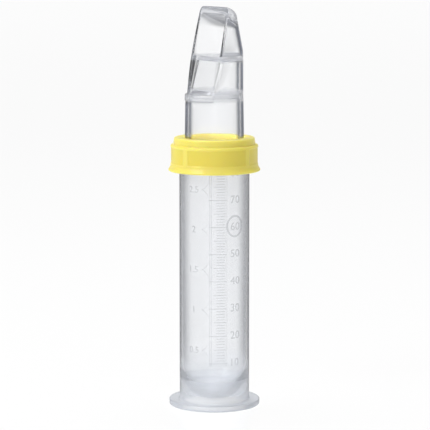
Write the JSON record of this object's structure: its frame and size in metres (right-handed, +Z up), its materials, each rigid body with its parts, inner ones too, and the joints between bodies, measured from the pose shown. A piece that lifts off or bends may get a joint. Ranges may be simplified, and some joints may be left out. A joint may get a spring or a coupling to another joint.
{
  "type": "graduated oral feeder",
  "caption": "Clear graduated feeding container on a round foot, with a screw collar and a soft spoon-shaped mouthpiece fed through a one-way valve.",
  "frame": {"origin": "centre of the foot ring's underside, on the container's axis", "axes": "+Z up along the container's axis to the spoon tip, -Y the way the open face of the spoon looks, +X to the right of that face seen from its front"},
  "size_m": [0.0444, 0.0444, 0.1938],
  "materials": {
    "container": "clear moulded polypropylene, faintly milky",
    "screw_collar": "opaque yellow, satin",
    "mouthpiece": "clear silicone, glossy",
    "valve_disc": "white, satin",
    "valve_membrane": "milky silicone, matte"
  },
  "bodies": {
    "container": {"container": "container"},
    "head": {"mouthpiece": "mouthpiece", "valve_disc": "valve_disc"},
    "collar": {"screw_collar": "screw_collar"},
    "membrane": {"valve_membrane": "valve_membrane"}
  },
  "joints": [
    {"name": "head_rise", "type": "slide", "parent": "container", "child": "head", "axis": [0, 0, 1], "range_m": [0, 0.01201]},
    {"name": "collar_turn", "type": "hinge", "parent": "head", "child": "collar", "pos_m": [0, 0, 0.1225], "axis": [0, 0, 1], "range_deg": [0, 1080]},
    {"name": "membrane_lift", "type": "slide", "parent": "head", "child": "membrane", "axis": [0, 0, 1], "range_m": [0, 0.0008]}
  ],
  "couplings": [
    {"joint": "head_rise", "follows": "collar_turn", "m_per_rad": 0.00063662}
  ]
}
